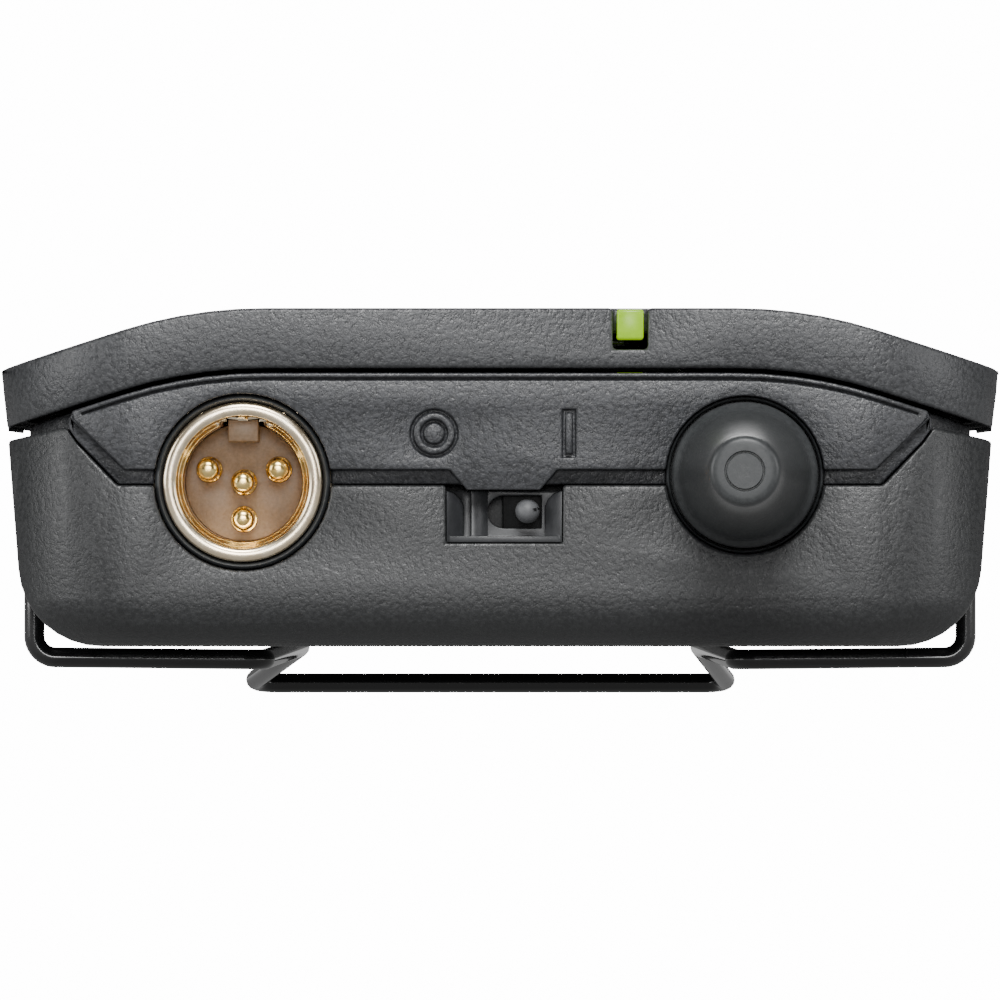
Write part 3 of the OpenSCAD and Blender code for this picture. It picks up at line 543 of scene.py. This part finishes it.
# %% Build up rings
def turned(name, place, rings, body, slot, sides=72, lean=(0, 0, 0), material=None):
    """A round piece from (distance, radius) pairs in millimetres, along -Y from its place."""
    deselect(action="DESELECT")
    start = Vector(place) * MM
    bpy.ops.mesh.primitive_circle_add(vertices=sides, radius=rings[0][1] * MM, fill_type="NGON",
                                      location=(0, 0, rings[0][0] * MM))
    piece = bpy.context.object
    bpy.ops.object.transform_apply(location=True, rotation=True, scale=True)
    bpy.ops.object.mode_set(mode="EDIT")
    bpy.ops.mesh.select_mode(type="FACE")
    bpy.ops.mesh.select_all(action="SELECT")
    for (d0, r0), (d1, r1) in zip(rings, rings[1:]):
        bpy.ops.mesh.extrude_region_move(TRANSFORM_OT_translate={"value": (0, 0, (d1 - d0) * MM)})
        bpy.ops.transform.resize(value=(r1 / r0, r1 / r0, 1), center_override=(0, 0, d1 * MM))
    bpy.ops.mesh.select_all(action="SELECT")
    bpy.ops.mesh.normals_make_consistent(inside=False)
    bpy.ops.object.mode_set(mode="OBJECT")
    piece.rotation_euler = (math.radians(90 + lean[0]), 0, math.radians(lean[2]))
    piece.location = start
    bpy.ops.object.transform_apply(location=True, rotation=True, scale=True)
    bpy.ops.object.shade_smooth_by_angle(angle=math.radians(35))
    finish_piece(piece, name, body, slot, material)
    print(name, len(piece.data.polygons), "faces")
    return piece


def rounded_edge(distance, radius, size, steps=5):
    """Rings that round the outer edge at the end of a turned piece."""
    return [(distance - size + size * math.sin(math.pi / 2 * k / steps),
             radius - size + size * math.cos(math.pi / 2 * k / steps)) for k in range(steps + 1)]


print("rings are ready")

# %% [markdown]
# ### Antenna
# The rubber sleeve swells at its foot, narrows to a whip and ends in a shouldered tip, with a fine
# moulding line round the flat of it. It hangs a little off square, as a soft sleeve does.

# %% Antenna
ANTENNA = (15.6, 10.95)
TOP_END_Y = top_end / MM
LENGTH = 55
foot = [(-1.6, 0.9), (-1.6, 4.65), (0.35, 4.65), (0.6, 4.62), (0.85, 4.5), (1.05, 4.3), (1.4, 4.15)]
whip = [(2, 4), (3.6, 3.8), (5.8, 3.55), (8, 3.3), (10.5, 3.07), (13, 2.85), (18, 2.6), (30, 2.45)]
# Measured back from the tip
shoulder = [(-2, 2.25), (-0.6, 2.2), (-0.3, 2.13), (-0.12, 2.02), (-0.03, 1.85), (0, 1.6)]
moulding_line = [(0, 1.24), (-0.04, 1.2), (-0.2, 1.18), (-0.2, 1.12), (-0.04, 1.1), (0, 1.06), (0, 0.02)]
tip = [(LENGTH + back, radius) for back, radius in shoulder + moulding_line]
sheath = turned("antenna_sheath_piece", (ANTENNA[0], TOP_END_Y, ANTENNA[1]), foot + whip + tip,
                body_of_node["antenna_sheath"], "rubber_black", sides=96, lean=(-0.16, 0, -0.9))
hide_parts("antenna_sheath")

# %% [markdown]
# ### Gaskets
# A black rubber ring fills the gap round the socket, and another the gap round the antenna.

# %% Gaskets
SOCKET = (-16.4, 10.5)
GASKET_Y = -53.95
GASKET_DEPTH = 1.5


def gasket(name, middle, inner, outer):
    """A round-edged rubber ring, stretched along Y to its depth."""
    deselect(action="DESELECT")
    bpy.ops.mesh.primitive_torus_add(major_radius=(inner + outer) / 2 * MM,
                                     minor_radius=(outer - inner) / 2 * MM,
                                     major_segments=96, minor_segments=16, location=(0, 0, 0),
                                     rotation=(math.radians(90), 0, 0))
    piece = bpy.context.object
    bpy.ops.object.transform_apply(location=True, rotation=True, scale=True)
    bpy.ops.object.mode_set(mode="EDIT")
    bpy.ops.mesh.select_all(action="SELECT")
    bpy.ops.transform.resize(value=(1, GASKET_DEPTH / (outer - inner), 1), center_override=(0, 0, 0))
    bpy.ops.transform.translate(value=(middle[0] * MM, GASKET_Y * MM, middle[1] * MM))
    bpy.ops.object.mode_set(mode="OBJECT")
    bpy.ops.object.shade_smooth_by_angle(angle=math.radians(40))
    finish_piece(piece, name, "housing", "rubber_black")
    print(name, len(piece.data.polygons), "faces")
    return piece


ring = gasket("socket_gasket_piece", SOCKET, 5.13, 5.6)
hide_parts("socket_gasket")
ring = gasket("antenna_gasket_piece", ANTENNA, 4.75, 5.02)
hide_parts("antenna_gasket")

# %% [markdown]
# ### Socket contacts
# Four gold-plated pins stand in the insulator: one in the middle and three on a ring round it. Each
# has a collar at its foot and a domed tip.

# %% Socket contacts
CONTACT_RING = 2.37
CONTACT_FOOT_Y = -48
pin_rings = [(-8.5, 0.6), (0, 0.6), (0.02, 0.85), (0.3, 0.85), (0.4, 0.8), (0.44, 0.72), (0.7, 0.7),
             (4.9, 0.7)] + rounded_edge(5.4, 0.7, 0.5)[1:] + [(5.4, 0.02)]
for name, angle in (("middle", None), ("right", 20), ("left", 160), ("low", 270)):
    x, z = SOCKET
    if angle is not None:
        x += CONTACT_RING * math.cos(math.radians(angle))
        z += CONTACT_RING * math.sin(math.radians(angle))
    pin = turned("socket_pin_" + name, (x, CONTACT_FOOT_Y, z), pin_rings,
                 body_of_node["socket_contacts"], "gold_plate", 32)
    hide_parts("socket_contacts")

# %% [markdown]
# ### Switch nub
# The slider's round nub is left matte by its tool, while the plate behind it is painted near-black as
# shade. It is half a ball on a short neck.

# %% Switch nub
NUB_RADIUS = 0.78
dome = [(NUB_RADIUS * math.sin(math.radians(d)), NUB_RADIUS * math.cos(math.radians(d)))
        for d in range(0, 90, 9)]
turned("switch_nub", (1.75, -53.9, 8.65), [(-1, 0.6), (0, 0.74)] + dome + [(NUB_RADIUS, 0.02)],
       body_of_node["switch_slider"], "button_abs", 48, material=nub_abs)

# %% [markdown]
# ## Display segments
# Two digits of seven bars each lie on the black face of the display, unlit until it is powered. Each
# bar is a thin cube with a softened edge, and all fourteen are joined into one piece.

# %% Display segments
DISPLAY_Y = -31
SEGMENT_Z = 17.2
SEGMENT_HIGH = 0.1
bars = []
for digit_x in (-3.4, 2.6):
    for dx, dy, upright in ((0, 3.2, 0), (0, 0, 0), (0, -3.2, 0), (-1.75, 1.6, 1), (1.75, 1.6, 1),
                            (-1.75, -1.6, 1), (1.75, -1.6, 1)):
        wide, long_ = (0.55, 2.5) if upright else (2.7, 0.55)
        deselect(action="DESELECT")
        bpy.ops.mesh.primitive_cube_add(
            size=1, location=((digit_x + dx) * MM, (DISPLAY_Y + dy) * MM, SEGMENT_Z * MM),
            scale=(wide * MM, long_ * MM, SEGMENT_HIGH * MM))
        bar = bpy.context.object
        bpy.ops.object.transform_apply(location=True, rotation=True, scale=True)
        bar.modifiers.new("bar_edge", "BEVEL").width = 0.04 * MM
        bpy.ops.object.modifier_apply(modifier="bar_edge")
        bars.append(bar)
deselect(action="DESELECT")
for bar in bars:
    bar.select_set(True)
bpy.context.view_layer.objects.active = bars[0]
bpy.ops.object.join()
deselect(action="DESELECT")
finish_piece(bars[0], "display_segments", body_of_node["segment_display"], "cap_white", segment_print)
bars[0].select_set(True)
bpy.context.view_layer.objects.active = bars[0]
bpy.ops.object.origin_set(type="ORIGIN_CURSOR")
print("display segments:", len(bars))
